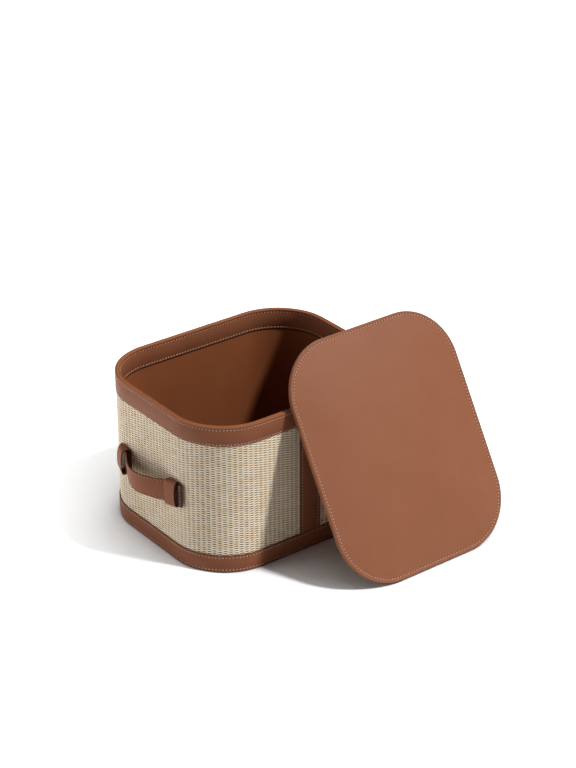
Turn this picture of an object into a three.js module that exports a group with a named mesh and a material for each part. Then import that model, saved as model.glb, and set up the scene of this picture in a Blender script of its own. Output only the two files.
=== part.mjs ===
// Storage box for papers and keepsakes: a rigid board box wrapped in woven paper cord,
// bound with stitched leather, with a strap handle on each short side and a loose lid.
// Millimetres, +Z up, X along the length. The origin is the centre of the underside.
// The lid is off the box: it stands on one short edge and leans on the front rim.

import * as THREE from 'three';
import { mergeVertices } from 'three/addons/utils/BufferGeometryUtils.js';

// Driving sizes of the box
const boxLength = 305;
const boxDepth = 251;
const boxHeight = 199;
const cornerRadius = 74;

// Clearance that touching pieces keep, and the facets of each rounded corner
const seatGap = 0.3;
const cornerSteps = 10;

// Wall, from the outside in: each inset is measured from the top band's outer face
const topBandThickness = 1.8;
const topBandHeight = 25;
const weaveInset = 0.6;
const weaveThickness = 1.2;
const wallBoardThickness = 2.8;
const innerBandThickness = 1.3;
const innerBandHeight = 27;
const wallLinerThickness = 0.6;
const rimStripThickness = 1.2;
const bandEdgeRound = 0.5;
const sheetEdgeRound = 0.2;

// Foot of the box
const bottomBandThickness = 1.1;
const bottomBandHeight = 23.9;
const bottomBandLift = 0.6;
const soleThickness = 1.4;
const baseBoardThickness = 4;
const floorPadThickness = 1.2;

// Leather straps over the two seams of the woven panels
const seamStrapWidth = 31;
const seamStrapThickness = 1.1;
const frontSeamOffset = -5.5;
const rearSeamOffset = 0;
const seamWidth = 0.6;

// Handle strap: it lies flat in its keepers, bows outwards in the middle and leans with its top edge.
// Each end is folded, too thick to slip out of its keeper, and the strap stands pushed to the front
const handleHeight = 97;
const handleStrapWidth = 29.2;
const handleStrapThickness = 1.9;
const handleBow = 26.2;
const handleLean = THREE.MathUtils.degToRad(7);
const handleEdgeRound = 0.4;
const handlePlay = 1;
const handleSlide = 4.5;
const handleFlatLead = 2;
const handleEndPullShare = 0.28;
const handleMiddlePullShare = 0.4;
const handleBowSteps = 14;
const stopLength = 3;
const stopFold = 1.3;
const stopBulge = 1.2;
const stopLift = 0.8;
const stopDrop = 1.3;
const stopStep = 0.2;
const stopNoseSteps = 4;

// Keeper: a leather loop sewn to the wall at its back. The bow of the strap pushes its inner mouth open.
// A round share of 1 is an oval mouth and 0 a rectangle
const keeperMargin = 65.5;
const keeperLength = 17;
const keeperLeather = 1.4;
const keeperWaistShare = 0.56;
const keeperBackRoundShare = 0.4;
const keeperOuterRoundShare = 0.83;
const keeperOuterSideRoom = 1.4;
const frontMouthRoom = 1;
const frontMouthSideRoom = 1.1;
const frontMouthRoundShare = 0.25;
const frontOuterRoom = 2.8;
const rearMouthRoom = 3.4;
const rearMouthSideRoom = 0.9;
const rearMouthRoundShare = 0.6;
const rearOuterRoom = 5;
const keeperRings = 4;
const keeperHalfSteps = 14;

// Lid
const lidEndOverhang = 0.2;
const lidSideOverhang = 1.8;
const lidCornerRadius = 72;
const lidThickness = 5.7;
const lidLeather = 1.2;
const lidLiningThickness = 0.9;
const lidEdgeRound = 0.6;
const insertDepth = 5;
const insertLeather = 0.7;
const insertClearance = 1.5;

// How the lid leans on the front rim
const lidLean = THREE.MathUtils.degToRad(30.97);
const lidYaw = THREE.MathUtils.degToRad(0.58);
const lidFootOffset = 90.9;

// Insets and levels that follow from the sizes above
const weaveInnerFace = weaveInset + weaveThickness;
const wallBoardOuter = weaveInnerFace + seatGap;
const wallBoardInner = wallBoardOuter + wallBoardThickness;
const liningInset = wallBoardInner + seatGap;
const rimWidth = liningInset + innerBandThickness;
const bottomBandInset = weaveInset - seatGap - bottomBandThickness;
const topBandFoot = boxHeight - topBandHeight;
const bottomBandTop = bottomBandLift + bottomBandHeight;
const wallFoot = soleThickness + seatGap;
const wallBoardTop = boxHeight - rimStripThickness - seatGap;
const floorLevel = wallFoot + baseBoardThickness + seatGap;
const innerBandFoot = boxHeight - innerBandHeight;

// Places of the handle, in distance from the weave's face and in reach from its middle along the wall
const weaveFace = boxLength / 2 - weaveInset;
const handleFlatInner = seatGap + keeperLeather + handlePlay;
const handleFlatOuter = handleFlatInner + handleStrapThickness;
const keeperOuterMouth = boxDepth / 2 - keeperMargin;
const keeperInnerMouth = keeperOuterMouth - keeperLength;
const handleFlatStart = keeperOuterMouth - handleFlatLead;
const handleBowLine = new THREE.CubicBezierCurve(
  new THREE.Vector2(0, handleBow),
  new THREE.Vector2(handleFlatStart * handleMiddlePullShare, handleBow),
  new THREE.Vector2(handleFlatStart * (1 - handleEndPullShare), handleFlatOuter),
  new THREE.Vector2(handleFlatStart, handleFlatOuter),
);

const leather = new THREE.MeshStandardMaterial({ color: 0x9a654b, roughness: 0.55, metalness: 0 });
const rimLeather = new THREE.MeshStandardMaterial({ color: 0xa46c45, roughness: 0.5, metalness: 0 });
const lining = new THREE.MeshStandardMaterial({ color: 0x8a5a40, roughness: 0.8, metalness: 0 });
const paperCord = new THREE.MeshStandardMaterial({ color: 0xd2c6b4, roughness: 0.9, metalness: 0 });
const board = new THREE.MeshStandardMaterial({ color: 0x8c7a62, roughness: 0.95, metalness: 0 });
const soleFelt = new THREE.MeshStandardMaterial({ color: 0x5a4436, roughness: 1, metalness: 0 });

const part = new THREE.Group();

function addPiece(name, geometry, material, parent = part) {
  const mesh = new THREE.Mesh(geometry, material);
  mesh.name = name;
  parent.add(mesh);
  return mesh;
}

// Closed solid from corner points and triangles, turned so that its faces point out
function closedSolid(points, triangles) {
  const a = new THREE.Vector3();
  let volume = 0;
  for (const [i, j, k] of triangles) volume += a.crossVectors(points[i], points[j]).dot(points[k]);
  const turned = volume < 0 ? triangles.map(([i, j, k]) => [i, k, j]) : triangles;
  const geometry = new THREE.BufferGeometry().setFromPoints(points);
  geometry.setIndex(turned.flat());
  return geometry;
}

// Plan of a rounded rectangle, as stations round its corners, each an arc centre and a normal
function roundedPlan(length, depth, radius) {
  const reachX = length / 2 - radius;
  const reachY = depth / 2 - radius;
  const corners = [[1, -1], [1, 1], [-1, 1], [-1, -1]];
  const stations = [];
  corners.forEach(([signX, signY], corner) => {
    for (let step = 0; step <= cornerSteps; step++) {
      const angle = (corner - 1 + step / cornerSteps) * Math.PI / 2;
      stations.push({
        centre: new THREE.Vector2(signX * reachX, signY * reachY),
        normal: new THREE.Vector2(Math.cos(angle), Math.sin(angle)),
      });
    }
  });
  return { stations, radius };
}

function planPoint(plan, station, inset, z) {
  const reach = plan.radius - inset;
  return new THREE.Vector3(
    station.centre.x + reach * station.normal.x,
    station.centre.y + reach * station.normal.y,
    z,
  );
}

// Section of a board or sheet on the wall, in inset and height, with square edges
function sheetSection(outer, thickness, low, high) {
  const inner = outer + thickness;
  return [[outer, low], [inner, low], [inner, high], [outer, high]].map(([x, y]) => new THREE.Vector2(x, y));
}

// Section of a leather strip on the wall, with its four edges rounded
function stripSection(outer, thickness, low, high, round) {
  const inner = outer + thickness;
  const shape = new THREE.Shape();
  shape.moveTo(outer + round, low);
  shape.lineTo(inner - round, low);
  shape.quadraticCurveTo(inner, low, inner, low + round);
  shape.lineTo(inner, high - round);
  shape.quadraticCurveTo(inner, high, inner - round, high);
  shape.lineTo(outer + round, high);
  shape.quadraticCurveTo(outer, high, outer, high - round);
  shape.lineTo(outer, low + round);
  shape.quadraticCurveTo(outer, low, outer + round, low);
  return shape.getPoints(2).slice(1);
}

function sweepQuads(rows, columns, closedRows) {
  const triangles = [];
  const last = closedRows ? rows : rows - 1;
  for (let row = 0; row < last; row++) {
    for (let column = 0; column < columns; column++) {
      const a = row * columns + column;
      const b = row * columns + (column + 1) % columns;
      const c = ((row + 1) % rows) * columns + column;
      const d = ((row + 1) % rows) * columns + (column + 1) % columns;
      triangles.push([a, b, d], [a, d, c]);
    }
  }
  return triangles;
}

// Section carried all the way round a plan
function hoop(plan, section) {
  const points = plan.stations.flatMap((station) =>
    section.map((corner) => planPoint(plan, station, corner.x, corner.y)));
  return closedSolid(points, sweepQuads(plan.stations.length, section.length, true));
}

// Section carried along part of a plan, with flat ends
function openHoop(plan, stations, section) {
  const points = stations.flatMap((station) =>
    section.map((corner) => planPoint(plan, station, corner.x, corner.y)));
  const triangles = sweepQuads(stations.length, section.length, false);
  const cap = THREE.ShapeUtils.triangulateShape(section, []);
  const offset = (stations.length - 1) * section.length;
  for (const [i, j, k] of cap) triangles.push([i, k, j], [i + offset, j + offset, k + offset]);
  return closedSolid(points, triangles);
}

// Profile of insets and heights carried round a plan, closed across the middle at both ends
function slab(plan, profile) {
  const count = plan.stations.length;
  const points = profile.flatMap(([inset, z]) =>
    plan.stations.map((station) => planPoint(plan, station, inset, z)));
  const triangles = sweepQuads(profile.length, count, false);
  const first = points.push(new THREE.Vector3(0, 0, profile[0][1])) - 1;
  const last = points.push(new THREE.Vector3(0, 0, profile[profile.length - 1][1])) - 1;
  const topRow = (profile.length - 1) * count;
  for (let i = 0; i < count; i++) {
    const next = (i + 1) % count;
    triangles.push([first, next, i], [last, topRow + i, topRow + next]);
  }
  return closedSolid(points, triangles);
}

function plainSlab(plan, inset, low, high, round = sheetEdgeRound) {
  return slab(plan, [[inset + round, low], [inset, low + round], [inset, high - round], [inset + round, high]]);
}

// Sheet that covers one face of a board and turns down over its edge
function wrappedSheet(plan, inset, thickness, face, brim, round) {
  const into = Math.sign(brim - face);
  const inner = inset + thickness;
  return slab(plan, [
    [inset + round, face],
    [inset + round * (1 - Math.SQRT1_2), face + into * round * (1 - Math.SQRT1_2)],
    [inset, face + into * round],
    [inset, brim - into * round],
    [inset + round * (1 - Math.SQRT1_2), brim - into * round * (1 - Math.SQRT1_2)],
    [inset + round, brim],
    [inner, brim],
    [inner, face + into * thickness],
  ]);
}

const boxPlan = roundedPlan(boxLength, boxDepth, cornerRadius);

function boxShell() {
  const wallSection = sheetSection(wallBoardOuter, wallBoardThickness, wallFoot, wallBoardTop);
  addPiece('wall_board', hoop(boxPlan, wallSection), board);
  addPiece('base_board', plainSlab(boxPlan, liningInset, wallFoot, wallFoot + baseBoardThickness), board);
  addPiece('sole', plainSlab(boxPlan, wallBoardOuter, 0, soleThickness), soleFelt);
}

// Two woven panels, each from the front seam round one short side to the rear seam
function wovenPanels() {
  const section = sheetSection(weaveInset, weaveThickness, wallFoot, topBandFoot - seatGap);
  const reachY = boxDepth / 2 - boxPlan.radius;
  const half = boxPlan.stations.length / 2;
  const seam = (x, signY) => ({
    centre: new THREE.Vector2(x, signY * reachY),
    normal: new THREE.Vector2(0, signY),
  });
  const rightSide = [
    seam(frontSeamOffset + seamWidth / 2, -1),
    ...boxPlan.stations.slice(0, half),
    seam(rearSeamOffset + seamWidth / 2, 1),
  ];
  const leftSide = [
    seam(rearSeamOffset - seamWidth / 2, 1),
    ...boxPlan.stations.slice(half),
    seam(frontSeamOffset - seamWidth / 2, -1),
  ];
  addPiece('woven_panel_right', openHoop(boxPlan, rightSide, section), paperCord);
  addPiece('woven_panel_left', openHoop(boxPlan, leftSide, section), paperCord);
}

function leatherBands() {
  const outerBand = stripSection(0, topBandThickness, topBandFoot, boxHeight, bandEdgeRound);
  const innerBand = stripSection(liningInset, innerBandThickness, innerBandFoot, boxHeight, bandEdgeRound);
  const footBand = stripSection(bottomBandInset, bottomBandThickness, bottomBandLift, bottomBandTop, bandEdgeRound);
  const rimStrip = stripSection(
    wallBoardOuter, wallBoardThickness, boxHeight - rimStripThickness, boxHeight, bandEdgeRound);
  addPiece('top_band', hoop(boxPlan, outerBand), leather);
  addPiece('inner_band', hoop(boxPlan, innerBand), leather);
  addPiece('bottom_band', hoop(boxPlan, footBand), leather);
  addPiece('rim_strip', hoop(boxPlan, rimStrip), rimLeather);
}

function boxLining() {
  const wallSection = sheetSection(liningInset, wallLinerThickness, floorLevel, innerBandFoot - seatGap);
  const floorInset = liningInset + wallLinerThickness + seatGap;
  addPiece('wall_lining', hoop(boxPlan, wallSection), lining);
  addPiece('floor_pad', plainSlab(boxPlan, floorInset, floorLevel, floorLevel + floorPadThickness), lining);
}

// Leather strap that covers a seam, flush with the bottom band and butted between the bands
function seamStrap(name, offset, signY) {
  const low = bottomBandTop + seatGap;
  const high = topBandFoot - seatGap;
  const flat = new THREE.Shape();
  flat.moveTo(-seamStrapWidth / 2, low);
  flat.lineTo(seamStrapWidth / 2, low);
  flat.lineTo(seamStrapWidth / 2, high);
  flat.lineTo(-seamStrapWidth / 2, high);
  const geometry = bevelledExtrude(flat, seamStrapThickness, sheetEdgeRound);
  const strap = addPiece(name, geometry, leather);
  strap.rotation.x = Math.PI / 2;
  const outerFace = boxDepth / 2 - bottomBandInset;
  strap.position.set(offset, signY > 0 ? outerFace : seamStrapThickness - outerFace, 0);
}

// Flat shape given a thickness, with its edges bevelled inside its outline
function bevelledExtrude(shape, thickness, bevel) {
  const geometry = new THREE.ExtrudeGeometry(shape, {
    depth: thickness - 2 * bevel,
    bevelThickness: bevel,
    bevelSize: bevel,
    bevelOffset: -bevel,
    bevelSegments: 1,
    curveSegments: 12,
  });
  geometry.translate(0, 0, bevel);
  geometry.deleteAttribute('normal');
  geometry.deleteAttribute('uv');
  return mergeVertices(geometry);
}

// Stations along one half of a handle strap, from its middle to its end. Each has its reach along the
// wall, the distance of its outer face from the weave, its thickness, half height, lean and lift
function handleStations(stopStart) {
  const half = handleStrapWidth / 2;
  const stations = handleBowLine.getPoints(handleBowSteps).map(({ x, y }) => {
    const lean = handleLean * (y - handleFlatOuter) / (handleBow - handleFlatOuter);
    return { reach: x, face: y, thickness: handleStrapThickness, half, lean, lift: 0 };
  });
  const plain = { face: handleFlatOuter, thickness: handleStrapThickness, half, lean: 0, lift: 0 };
  stations.push({ ...plain, reach: keeperOuterMouth }, { ...plain, reach: stopStart });
  const stopThickness = handleStrapThickness + stopFold;
  const noseRadius = stopThickness / 2;
  const stop = (past, inset) => stations.push({
    ...plain,
    reach: stopStart + past,
    face: handleFlatOuter - stopDrop * past / stopLength - inset,
    thickness: stopThickness - 2 * inset,
    half: half + stopBulge,
    lift: stopLift,
  });
  stop(stopStep, 0);
  for (let step = 0; step < stopNoseSteps; step++) {
    const angle = Math.PI / 2 * step / stopNoseSteps;
    stop(stopLength - noseRadius * (1 - Math.sin(angle)), noseRadius * (1 - Math.cos(angle)));
  }
  return stations;
}

// Section of a strap at a station, as points across and up, with its four edges bevelled
function strapSection({ thickness, half }) {
  const bevel = Math.min(handleEdgeRound, thickness / 4);
  const corner = [[0, half - bevel], [-bevel, half], [bevel - thickness, half], [-thickness, half - bevel]];
  return [...corner, ...corner.map(([across, up]) => [across, -up]).reverse()];
}

function handleStrap(name, side) {
  const rearHalf = handleStations(keeperOuterMouth + seatGap);
  const frontHalf = handleStations(keeperOuterMouth + seatGap + handleSlide)
    .map((station) => ({ ...station, reach: -station.reach }));
  const stations = [...frontHalf.reverse(), ...rearHalf.slice(1)];
  const points = stations.flatMap((station, index) => {
    const before = stations[Math.max(index - 1, 0)];
    const after = stations[Math.min(index + 1, stations.length - 1)];
    const bends = station.lean > 0;
    const slope = bends ? Math.atan2(before.face - after.face, after.reach - before.reach) : 0;
    const normal = new THREE.Vector3(side * Math.cos(slope), Math.sin(slope), 0);
    const upright = new THREE.Vector3(0, 0, 1);
    const outwards = normal.clone().multiplyScalar(Math.cos(station.lean))
      .addScaledVector(upright, -Math.sin(station.lean));
    const up = upright.multiplyScalar(Math.cos(station.lean)).addScaledVector(normal, Math.sin(station.lean));
    const middle = new THREE.Vector3(
      side * (weaveFace + station.face), station.reach, handleHeight + station.lift);
    return strapSection(station).map(([across, rise]) =>
      middle.clone().addScaledVector(outwards, across).addScaledVector(up, rise));
  });
  const sides = strapSection(stations[0]).length;
  const triangles = sweepQuads(stations.length, sides, false);
  const last = (stations.length - 1) * sides;
  for (let i = 1; i < sides - 1; i++) triangles.push([0, i + 1, i], [last, last + i, last + i + 1]);
  addPiece(name, closedSolid(points, triangles), leather);
}

// Distance of the strap's outer face from the weave, at a reach from the strap's middle
function strapFaceAt(reach) {
  const points = handleBowLine.getPoints(handleBowSteps);
  const next = points.findIndex((point) => point.x > reach);
  const [from, to] = [points[next - 1], points[next]];
  return THREE.MathUtils.mapLinear(reach, from.x, to.x, from.y, to.y);
}

// Mouths of the keepers, with the room that they leave round the strap. The strap slides to the rear,
// so the rear keeper takes more of the bow
const mouth = (face, room, sideRoom, roundShare) => ({
  depth: face + room + keeperLeather,
  halfHeight: handleStrapWidth / 2 + sideRoom + keeperLeather,
  roundShare,
});
const frontKeeper = [
  mouth(strapFaceAt(keeperInnerMouth), frontMouthRoom, frontMouthSideRoom, frontMouthRoundShare),
  mouth(handleFlatOuter, frontOuterRoom, keeperOuterSideRoom, keeperOuterRoundShare),
];
const rearKeeper = [
  mouth(strapFaceAt(keeperInnerMouth - handleSlide), rearMouthRoom, rearMouthSideRoom, rearMouthRoundShare),
  mouth(handleFlatOuter, rearOuterRoom, keeperOuterSideRoom, keeperOuterRoundShare),
];

// One ring of a keeper, as two half ovals: the back lies flat on the wall and the front bows out
function keeperRing(share, [inner, outer], leatherInset) {
  const mix = (from, to) => THREE.MathUtils.lerp(from, to, share);
  const waist = mix(inner.depth * keeperWaistShare, handleFlatInner + handleStrapThickness / 2);
  const halfHeight = mix(inner.halfHeight, outer.halfHeight) - leatherInset;
  const frontBow = mix(inner.depth, outer.depth) - waist - leatherInset;
  const backBow = waist - seatGap - leatherInset;
  const halves = [
    { bow: frontBow, roundShare: mix(inner.roundShare, outer.roundShare), turn: 1 },
    { bow: -backBow, roundShare: keeperBackRoundShare, turn: -1 },
  ];
  return halves.flatMap(({ bow, roundShare, turn }) => {
    const half = [];
    for (let step = 0; step < keeperHalfSteps; step++) {
      const angle = Math.PI * (1 / 2 - step / keeperHalfSteps);
      const up = Math.sign(angle) * Math.abs(Math.sin(angle)) ** roundShare;
      half.push([waist + bow * Math.abs(Math.cos(angle)) ** roundShare, turn * halfHeight * up]);
    }
    return half;
  });
}

// Leather loop that holds one end of a handle strap against the wall
function keeper(name, side, end, mouths) {
  const points = [];
  for (const leatherInset of [0, keeperLeather]) {
    for (let row = 0; row <= keeperRings; row++) {
      const share = row / keeperRings;
      const along = THREE.MathUtils.lerp(keeperInnerMouth, keeperOuterMouth, share);
      for (const [outwards, up] of keeperRing(share, mouths, leatherInset)) {
        points.push(new THREE.Vector3(side * (weaveFace + outwards), end * along, handleHeight + up));
      }
    }
  }
  const rows = keeperRings + 1;
  const sides = keeperRing(0, mouths, 0).length;
  const skin = rows * sides;
  const outside = sweepQuads(rows, sides, false);
  const triangles = [...outside, ...outside.map(([i, j, k]) => [i + skin, k + skin, j + skin])];
  for (const [row, flip] of [[0, false], [keeperRings, true]]) {
    for (let i = 0; i < sides; i++) {
      const a = row * sides + i;
      const b = row * sides + (i + 1) % sides;
      const quad = [[a, b + skin, b], [a, a + skin, b + skin]];
      triangles.push(...(flip ? quad.map(([p, q, r]) => [p, r, q]) : quad));
    }
  }
  addPiece(name, closedSolid(points, triangles), leather);
}

// Lid, modelled flat with its underside at the group's zero, then stood up and leaned
function lid() {
  const lidLength = boxLength + 2 * lidEndOverhang;
  const lidWidth = boxDepth + 2 * lidSideOverhang;
  const lidPlan = roundedPlan(lidLength, lidWidth, lidCornerRadius);
  const boardInset = lidLeather + seatGap;
  const boardLow = lidLiningThickness + seatGap;
  const boardHigh = lidThickness - lidLeather - seatGap;
  const insertInset = rimWidth + insertClearance;
  const insertBoardInset = insertInset + insertLeather + seatGap;

  const flat = new THREE.Group();
  addPiece('lid_cover', wrappedSheet(lidPlan, 0, lidLeather, lidThickness, 0, lidEdgeRound), leather, flat);
  addPiece('lid_board', plainSlab(lidPlan, boardInset, boardLow, boardHigh), board, flat);
  addPiece('lid_lining', plainSlab(lidPlan, boardInset, 0, lidLiningThickness), lining, flat);
  addPiece(
    'lid_insert_board',
    plainSlab(boxPlan, insertBoardInset, insertLeather + seatGap - insertDepth, -seatGap), board, flat);
  addPiece(
    'lid_insert_cover',
    wrappedSheet(boxPlan, insertInset, insertLeather, -insertDepth, -seatGap, sheetEdgeRound), lining, flat);

  // The long axis of the flat lid points up the lean, and its underside rests on the rim
  flat.rotation.z = Math.PI / 2;
  const edgeDrop = (round) => round * (Math.cos(lidLean) + Math.sin(lidLean) - 1);
  const standOff = insertDepth + seatGap - edgeDrop(bandEdgeRound);
  flat.position.y = lidLength / 2;
  const leaning = new THREE.Group();
  leaning.rotation.x = Math.PI / 2 - lidLean;
  leaning.add(flat);
  const standing = new THREE.Group();
  standing.rotation.z = lidYaw;
  const footY = -boxDepth / 2 - boxHeight * Math.tan(lidLean) - standOff / Math.cos(lidLean);
  standing.position.set(lidFootOffset, footY, -edgeDrop(lidEdgeRound));
  standing.add(leaning);
  part.add(standing);
}

boxShell();
wovenPanels();
leatherBands();
boxLining();
seamStrap('seam_strap_front', frontSeamOffset, -1);
seamStrap('seam_strap_rear', rearSeamOffset, 1);
for (const [sideName, side] of [['left', -1], ['right', 1]]) {
  handleStrap(`handle_strap_${sideName}`, side);
  keeper(`keeper_${sideName}_front`, side, -1, frontKeeper);
  keeper(`keeper_${sideName}_rear`, side, 1, rearKeeper);
}
lid();

export default part;
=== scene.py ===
"""Storage box in woven paper cord and stitched leather, with its lid leaning on the rim.

Metres, +Z up, in the frame of the construction model. Every piece that shows is modelled
here at full detail over its plain solid, and the hidden boards keep their solids.
"""

import math
from dataclasses import dataclass, replace

import bmesh
import bpy
import numpy as np
from mathutils import Matrix, Vector


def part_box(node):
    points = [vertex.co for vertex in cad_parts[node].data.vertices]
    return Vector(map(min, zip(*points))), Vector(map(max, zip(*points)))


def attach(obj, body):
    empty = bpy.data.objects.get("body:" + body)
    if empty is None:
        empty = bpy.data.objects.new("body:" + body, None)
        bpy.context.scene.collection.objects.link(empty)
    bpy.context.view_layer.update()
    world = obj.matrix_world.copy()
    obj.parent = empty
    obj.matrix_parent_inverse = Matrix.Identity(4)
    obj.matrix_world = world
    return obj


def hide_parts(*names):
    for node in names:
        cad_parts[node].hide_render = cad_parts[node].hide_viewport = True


MM = 0.001

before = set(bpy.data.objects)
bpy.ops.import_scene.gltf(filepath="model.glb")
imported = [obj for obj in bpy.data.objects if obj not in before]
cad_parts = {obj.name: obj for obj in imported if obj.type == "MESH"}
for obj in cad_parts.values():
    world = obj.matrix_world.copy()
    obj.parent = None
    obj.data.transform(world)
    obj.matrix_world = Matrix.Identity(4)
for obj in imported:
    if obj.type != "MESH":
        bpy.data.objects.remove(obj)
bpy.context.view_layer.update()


# The photograph's view

PHOTO_CAMERA_PLACE = (-1.44975, -1.99220, 1.46315)
PHOTO_AZIMUTH = math.radians(-37.09)
PHOTO_ELEVATION = math.radians(27.66)
PHOTO_ROLL = math.radians(-0.21)
PHOTO_LENS = 105.49
SENSOR_WIDTH = 36
VIEW_DEPTH = 100


# Sizes of the box, from the frame where it holds them

BOX_LOW, BOX_HIGH = (Vector(corner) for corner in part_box("top_band"))
LENGTH = BOX_HIGH.x - BOX_LOW.x
DEPTH = BOX_HIGH.y - BOX_LOW.y
HEIGHT = BOX_HIGH.z
CORNER_RADIUS = 74 * MM
CORNER_STEPS = 32


def outer_inset(node):
    """How far a node's outer face lies inside the top band's."""
    return BOX_HIGH.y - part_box(node)[1][1]


def foot_of(node):
    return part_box(node)[0][2]


def top_of(node):
    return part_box(node)[1][2]


TOP_BAND_THICKNESS = 1.8 * MM
INNER_BAND_THICKNESS = 1.3 * MM
BOTTOM_BAND_THICKNESS = 1.1 * MM
RIM_STRIP_WIDTH = 2.8 * MM
LINING_THICKNESS = 0.6 * MM
EDGE_ROUND = 0.5 * MM
THIN_ROUND = 0.25 * MM
SEAM_STRAP_ROUND = 0.4 * MM
SEAT_GAP = 0.3 * MM
LEAST_FLAT = 0.02 * MM
ROUND_STEPS = 3
SHARP_ANGLE = math.radians(40)

# Stitches, the grooves they lie in and the rows' distances from the edge of the leather
STITCH_PITCH = 4.25 * MM
STITCH_LENGTH = 2.7 * MM
STITCH_WIDTH = 1.05 * MM
STITCH_HEIGHT = 0.5 * MM
STITCH_SLANT = math.radians(7)
STITCH_SWAY_SHARES = (0.5, 1.5)
STITCH_SEED = 7
STRAP_THREAD_SHARE = 0.68
HOLE_LENGTH_SHARE = 1.5
HOLE_WIDTH_SHARE = 1.1
HOLE_HEIGHT_SHARE = 0.9
GROOVE_WIDTH = 1.5 * MM
GROOVE_DEPTH = 0.22 * MM
GROOVE_SIDE_SHARE = 0.7
BAND_TOP_ROW = 3.6 * MM
BAND_FOOT_ROW = 2.2 * MM
SEAM_STITCH_END = 1.5 * MM

# Painted shade on the lining under the inner band's edge, in a shallow groove
UNDER_BAND_SHADE_WIDTH = 3.2 * MM
UNDER_BAND_SHADE_DROP_SHARE = 0.3

# Weave of the side panels
WEFT_PITCH = 1.56 * MM
WARP_PITCH = 6.6 * MM
WEAVE_RELIEF = 0.95 * MM
WEAVE_TUCK = 1 * MM
SEAM_GAP = 0.6 * MM
GRID_STEPS_A_COLUMN = 4
GRID_STEPS_A_ROW = 3
DRAW_TO_WARP = 0.05
ROW_SWELL = 0.15
DIP_SHARPNESS = 8.0
DIP_DEPTH = 1.1
FURROW_HEIGHT = 0.5
FURROW_SAG = 0.12
WANDER = 0.25
WANDER_A_COLUMN = 0.35
WANDER_A_ROW = 1.7

# Handle straps and keepers, measured out from the weave and along the wall from the strap's middle
STRAP_HALF_WIDTH = 14.6 * MM
STRAP_THICKNESS = 1.9 * MM
STRAP_BOW = 26.2 * MM
STRAP_LEAN = math.radians(7)
STRAP_PLAY = 1 * MM
STRAP_SLIDE = 4.5 * MM
STRAP_FLAT_LEAD = 2 * MM
STRAP_BOW_STEPS = 40
SOLID_BOW_STEPS = 14
STRAP_MIDDLE_PULL_SHARE = 0.4
STRAP_END_PULL_SHARE = 0.28
STRAP_EDGE_ROUND = 0.6 * MM
STRAP_STITCH_ROW = 2.6 * MM
STRAP_EDGE_PAINT = 0.35
# Shares of painted shade along the strap from the keeper's mouth to its fold
STRAP_MOUTH_SHADE_SHARES = (0, 0.5, 0.9)
FOLD_LENGTH = 3 * MM
FOLD_THICKNESS = 3.2 * MM
FOLD_BULGE = 1.2 * MM
FOLD_LIFT = 0.8 * MM
FOLD_DROP = 1.3 * MM
# Dark edge paint on the folded end: partly its real paint, partly painted shade beside the keeper
FOLD_PAINT_AND_SHADE = 0.9
FOLD_FIRST_SHARE = 0.07
FOLD_STITCH_SHARE = 0.4
KEEPER_LEATHER = 1.4 * MM
KEEPER_WAIST_SHARE = 0.56
KEEPER_BACK_ROUND_SHARE = 0.4
KEEPER_EDGE_ROUND = 0.4 * MM

# Lid
LID_LEAN = math.radians(30.97)
LID_YAW = math.radians(0.58)
LID_FOOT_OFFSET = 90.9 * MM
LID_LENGTH = 305.4 * MM
LID_WIDTH = 254.6 * MM
LID_CORNER_RADIUS = 72 * MM
LID_THICKNESS = 5.7 * MM
LID_LEATHER = 1.2 * MM
LID_LINING = 0.9 * MM
LID_EDGE_ROUND = 0.6 * MM
INSERT_DEPTH = 5 * MM
INSERT_INSET = 8 * MM
INSERT_LEATHER = 0.7 * MM
INSERT_ROUND = 0.5 * MM
LID_STITCH_ROW = 4.2 * MM


class Wire:
    """A value in a node tree. Arithmetic on it adds Math nodes."""

    def __init__(self, graph, socket):
        self.graph = graph
        self.socket = socket

    def math(self, operation, *others):
        values = dict(enumerate((self, *others)))
        return self.graph.node("ShaderNodeMath", {"operation": operation}, values)[0]

    def __add__(self, other):
        return self.math("ADD", other)

    def __sub__(self, other):
        return self.math("SUBTRACT", other)

    def __rsub__(self, other):
        return self.graph.wire(other).math("SUBTRACT", self)

    def __mul__(self, other):
        return self.math("MULTIPLY", other)

    def __truediv__(self, other):
        return self.math("DIVIDE", other)

    __radd__ = __add__
    __rmul__ = __mul__


class Graph:
    """A node tree with one method for any node."""

    def __init__(self, tree):
        self.tree = tree

    def node(self, kind, settings=None, values=None):
        """Adds a node and returns its outputs, by place or by name, as wires."""
        made = self.tree.nodes.new(kind)
        for name, setting in (settings or {}).items():
            if name == "stops":
                self._set_stops(made.color_ramp, setting)
            else:
                setattr(made, name, setting)
        for key, value in (values or {}).items():
            socket = made.inputs[key]
            if isinstance(value, Wire):
                self.tree.links.new(value.socket, socket)
            else:
                socket.default_value = value
        return Outputs(self, made)

    def wire(self, number):
        return self.node("ShaderNodeMath", {"operation": "ADD"}, {0: number, 1: 0.0})[0]

    def _set_stops(self, ramp, stops):
        while len(ramp.elements) < len(stops):
            ramp.elements.new(1.0)
        for element, (place, colour) in zip(ramp.elements, stops):
            element.position = place
            element.color = (*colour, 1.0)


class Outputs:
    """The outputs of a node, each as a wire."""

    def __init__(self, graph, made):
        self.graph = graph
        self.made = made

    def __getitem__(self, key):
        return Wire(self.graph, self.made.outputs[key])


def combine(graph, **parts):
    """Vector wire from its X, Y and Z. A part that isn't named is zero."""
    return graph.node("ShaderNodeCombineXYZ", None, parts)["Vector"]


def vector_math(graph, operation, values):
    return graph.node("ShaderNodeVectorMath", {"operation": operation}, values)["Vector"]


def srgb(*levels):
    """Linear colour of an sRGB triple from 0 to 255."""
    shares = [each / 255 for each in levels]
    return tuple(((share + 0.055) / 1.055) ** 2.4 if share > 0.04 else share / 12.92 for share in shares)


# Materials


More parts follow.
